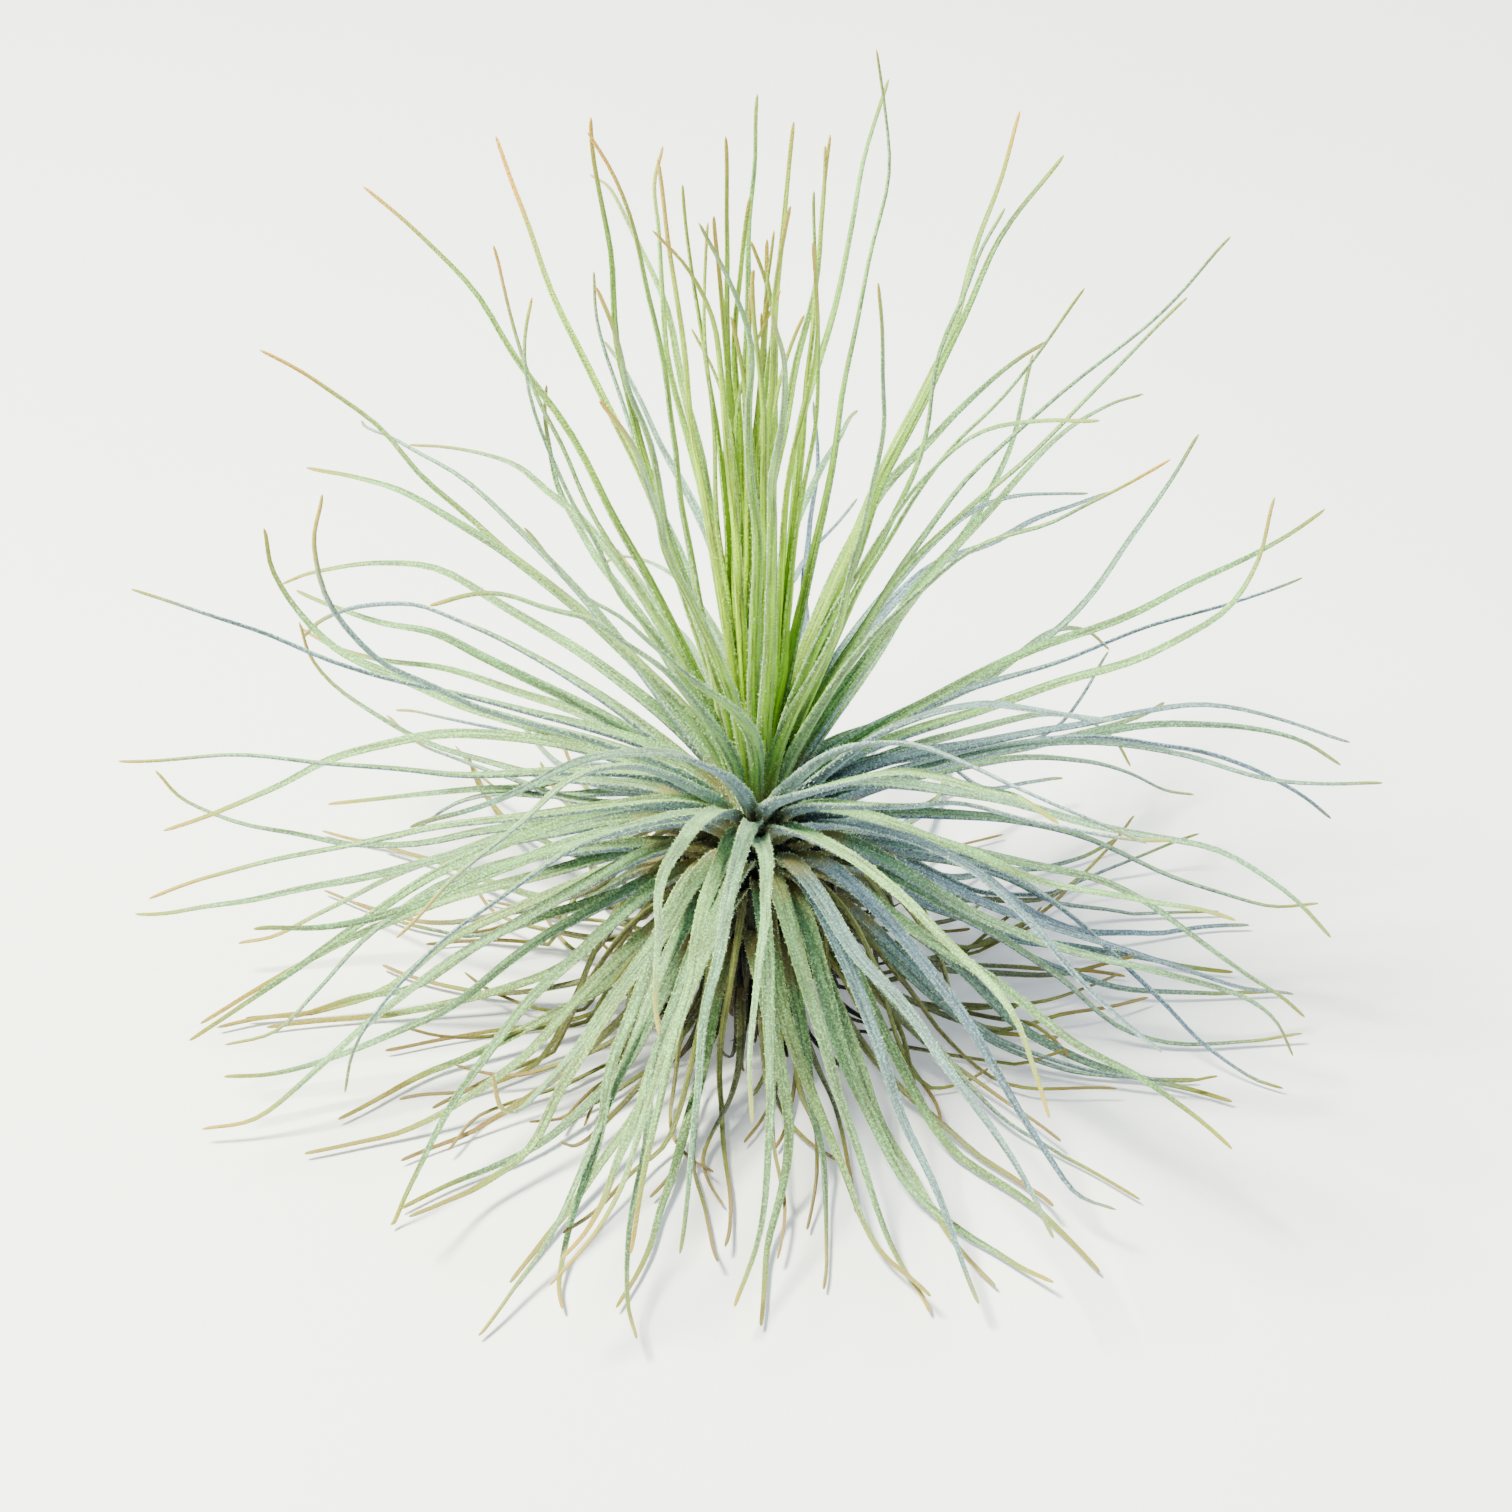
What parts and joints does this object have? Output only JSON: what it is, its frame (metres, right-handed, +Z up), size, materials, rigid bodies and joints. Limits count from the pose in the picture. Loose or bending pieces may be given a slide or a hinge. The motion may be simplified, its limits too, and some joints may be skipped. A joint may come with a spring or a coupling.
{
  "type": "magnusiana air plant",
  "caption": "Air plant: a dense rosette of narrow, tapering grey-green leaves with an upright lime heart, arching over and trailing round a short woody stem.",
  "frame": {"origin": "centre of the stem's flat cut base, on the surface that the plant stands on", "axes": "+Z up along the stem towards the heart; -Y is the side that the plant is usually seen from"},
  "size_m": [0.2472, 0.2403, 0.2002],
  "materials": {
    "stem": "rough, fibrous, covered in old leaf bases",
    "heart_leaf": "lime green, finely scurfy, matt",
    "leaf": "sage green under a silvery scurf, matt and finely striped",
    "old_leaf": "dull grey-green, scurfy, browning at the tips",
    "dry_leaf": "withered, tan and olive, papery"
  },
  "bodies": {
    "root": {"stem": "stem", "heart_leaves": "heart_leaf", "upper_leaves": "leaf", "middle_leaves": "leaf", "outer_leaves": "leaf", "lower_leaves": "old_leaf", "dry_leaves": "dry_leaf"}
  },
  "joints": []
}
